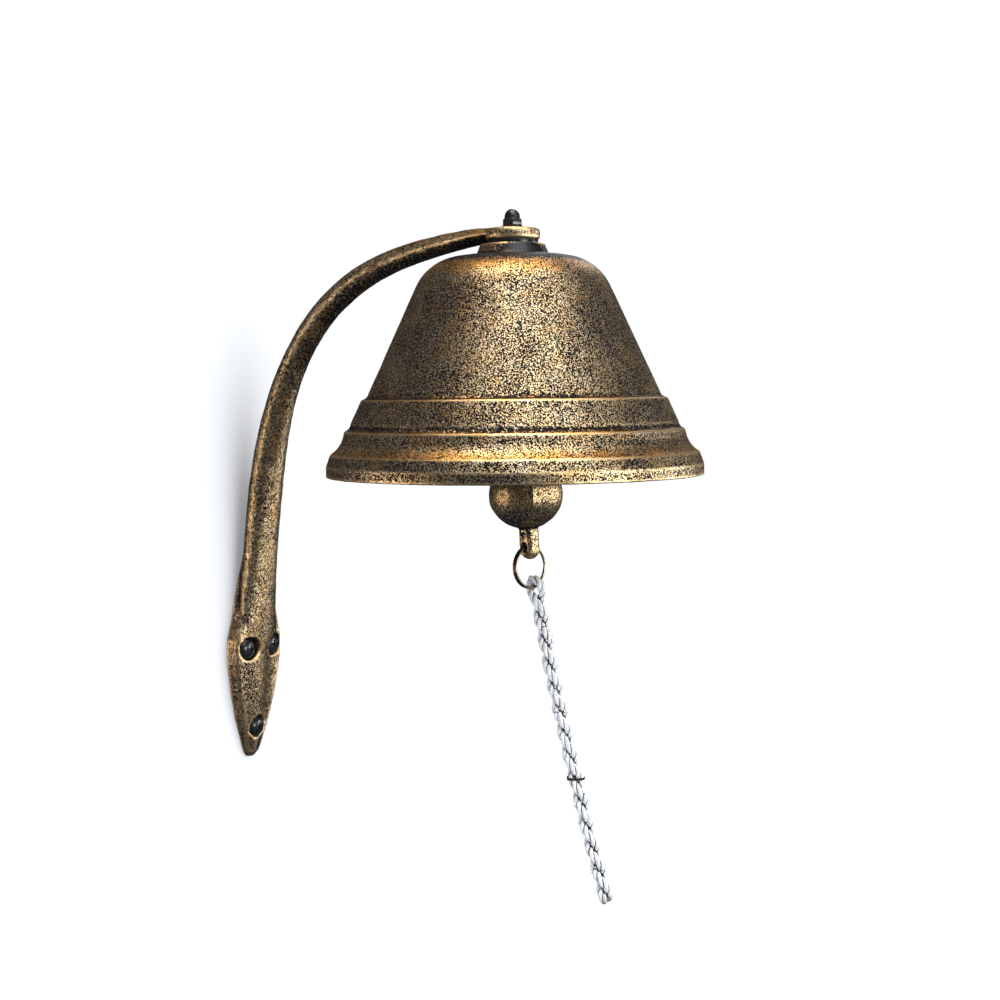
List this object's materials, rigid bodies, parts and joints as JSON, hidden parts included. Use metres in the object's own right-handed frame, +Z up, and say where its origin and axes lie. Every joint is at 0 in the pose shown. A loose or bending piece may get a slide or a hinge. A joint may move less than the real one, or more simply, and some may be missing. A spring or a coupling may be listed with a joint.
{
  "type": "wall mounted bell",
  "caption": "Wall mounted bell: cast bracket with screws, stepped bell bolted beneath it, and a hung clapper with split ring and twisted pull rope.",
  "frame": {"origin": "on the wall face and the bracket's centre line, level with the two upper screws", "axes": "+X out of the wall into the room, +Z up, +Y to the left seen from the room facing the wall"},
  "size_m": [0.26, 0.16, 0.2938],
  "materials": {
    "bell_metal": "black with antique gold highlights, fine cast texture",
    "bracket_metal": "black with antique gold highlights, fine cast texture",
    "clapper_metal": "black with worn gold patches",
    "black_fastener": "black oxide, semi gloss",
    "ring_steel": "aged brassy steel wire",
    "rope_cord": "white twisted cord",
    "black_thread": "waxed black thread"
  },
  "bodies": {
    "bell_on_bracket": {"bracket": "bracket_metal", "bell": "bell_metal", "wall_screws": "black_fastener", "crown_washer": "bell_metal", "inner_washer": "black_fastener", "inner_nut": "black_fastener", "spring_washer": "black_fastener", "cap_nut": "black_fastener", "eye_bolt": "black_fastener"},
    "hanger": {"hanger_link": "black_fastener"},
    "clapper": {"clapper": "clapper_metal"},
    "ring": {"split_ring": "ring_steel"},
    "rope_top": {"rope_1": "rope_cord"},
    "rope_upper": {"rope_2": "rope_cord"},
    "rope_lower": {"rope_3": "rope_cord", "rope_whipping": "black_thread"},
    "rope_end": {"rope_4": "rope_cord"}
  },
  "joints": [
    {"name": "hanger_turn", "type": "hinge", "parent": "bell_on_bracket", "child": "hanger", "pos_m": [0.146, 0, 0.15525], "axis": [0, 0, 1], "range_deg": [-20, 20]},
    {"name": "clapper_swing", "type": "hinge", "parent": "hanger", "child": "clapper", "pos_m": [0.146, 0, 0.1468], "axis": [-0.2924, -0.9563, 0], "range_deg": [-49.7, 39.3]},
    {"name": "ring_swing", "type": "hinge", "parent": "clapper", "child": "ring", "pos_m": [0.1542, -0.00251, 0.05259], "axis": [-0.2924, -0.9563, 0], "range_deg": [-30, 30]},
    {"name": "rope_swing", "type": "hinge", "parent": "ring", "child": "rope_top", "pos_m": [0.15554, -0.00014, 0.03582], "axis": [-0.2677, -0.9127, -0.3088], "range_deg": [-30, 30]},
    {"name": "rope_bend_upper", "type": "hinge", "parent": "rope_top", "child": "rope_upper", "pos_m": [0.16095, 0.00299, 0.00037], "axis": [0.5, -0.866, 0], "range_deg": [-20, 20]},
    {"name": "rope_bend_sideways", "type": "hinge", "parent": "rope_upper", "child": "rope_lower", "pos_m": [0.16743, 0.00673, -0.03485], "axis": [0.8471, 0.4891, 0.2079], "range_deg": [-20, 20]},
    {"name": "rope_bend_lower", "type": "hinge", "parent": "rope_lower", "child": "rope_end", "pos_m": [0.17434, 0.01072, -0.06995], "axis": [0.5, -0.866, 0], "range_deg": [-20, 20]}
  ]
}
